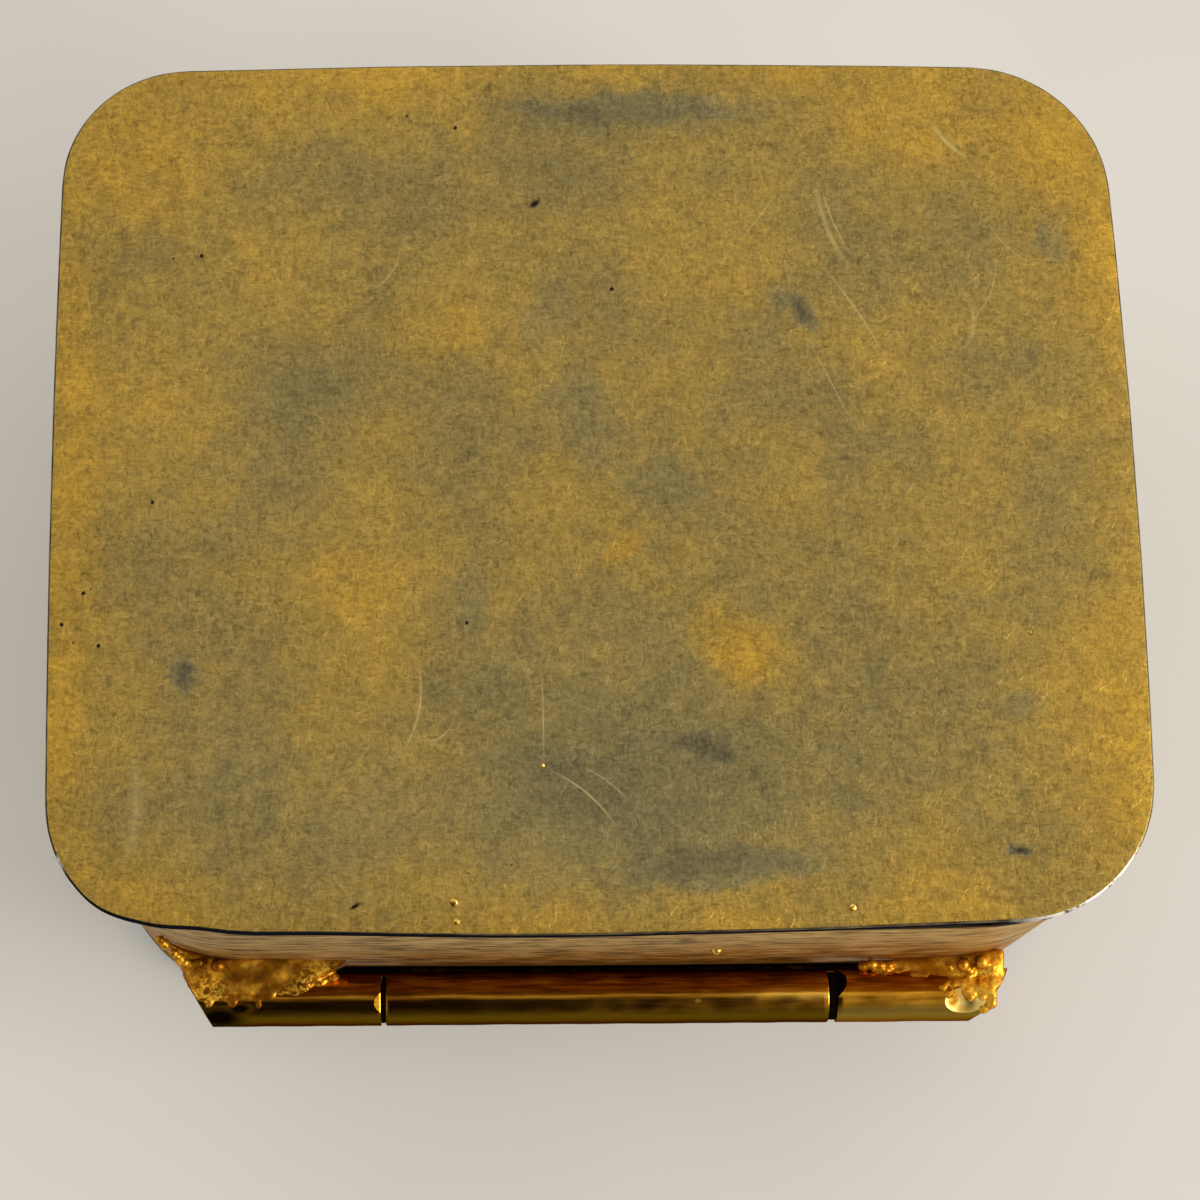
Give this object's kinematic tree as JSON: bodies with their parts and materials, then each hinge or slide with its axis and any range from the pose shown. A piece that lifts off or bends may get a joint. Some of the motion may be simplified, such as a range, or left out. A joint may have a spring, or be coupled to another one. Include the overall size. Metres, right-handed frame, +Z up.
{
  "type": "trinket box",
  "caption": "Small low hinged keepsake box of soldered gilt sheet metal, with rounded corners, a barrel hinge along the back and a lid that swings fully open.",
  "frame": {"origin": "the middle of the underside, the face that the box rests on", "axes": "+X along the hinge, to the right when the hinge side is nearest; +Y from the hinge side to the opening side; +Z up"},
  "size_m": [0.065, 0.0598, 0.034],
  "materials": {
    "gilt_sheet": "matte gilt, finely scratched and rubbed grey in places",
    "worn_sheet": "gilt worn to greyish metal, with draw-file marks",
    "gilt_tube": "polished gilt",
    "gilt_solder": "gilt over rough solder",
    "pin_wire": "drawn brass wire"
  },
  "bodies": {
    "base": {"base_plate": "gilt_sheet", "base_wall": "worn_sheet", "base_seam_solder": "gilt_solder", "bezel_band": "gilt_sheet", "hinge_knuckle_centre": "gilt_tube", "hinge_solder_centre": "gilt_solder"},
    "lid": {"lid_plate": "gilt_sheet", "lid_wall": "worn_sheet", "lid_seam_solder": "gilt_solder", "hinge_knuckle_left": "gilt_tube", "hinge_knuckle_right": "gilt_tube", "hinge_pin": "pin_wire", "hinge_solder_left": "gilt_solder", "hinge_solder_right": "gilt_solder", "thumb_lip": "gilt_tube"}
  },
  "joints": [
    {"name": "lid_hinge", "type": "hinge", "parent": "base", "child": "lid", "pos_m": [0, -0.02893, 0.017], "axis": [1, 0, 0], "range_deg": [0, 180]}
  ]
}
